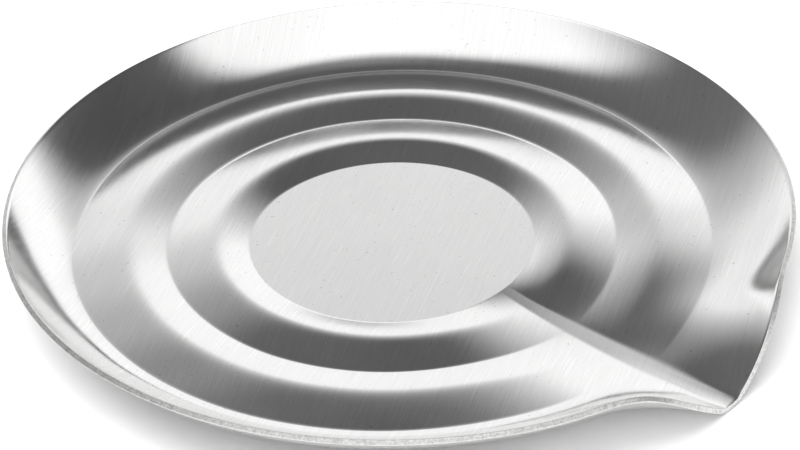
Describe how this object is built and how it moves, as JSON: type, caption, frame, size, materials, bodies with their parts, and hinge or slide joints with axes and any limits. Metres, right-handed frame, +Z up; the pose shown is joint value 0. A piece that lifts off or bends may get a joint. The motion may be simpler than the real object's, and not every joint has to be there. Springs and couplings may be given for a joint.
{
  "type": "pill counting tray",
  "caption": "Round shallow steel dish with a flat middle, raised rings, a flared rim and a pointed pouring spout, for counting out pills.",
  "frame": {"origin": "centre of the underside of the flat disc in the middle, on the surface that the tray stands on", "axes": "+Z up, +X along the pouring spout, +Y across it"},
  "size_m": [0.1427, 0.1403, 0.013],
  "materials": {
    "steel": "satin, with a straight brushed grain"
  },
  "bodies": {
    "root": {"tray": "steel"}
  },
  "joints": []
}
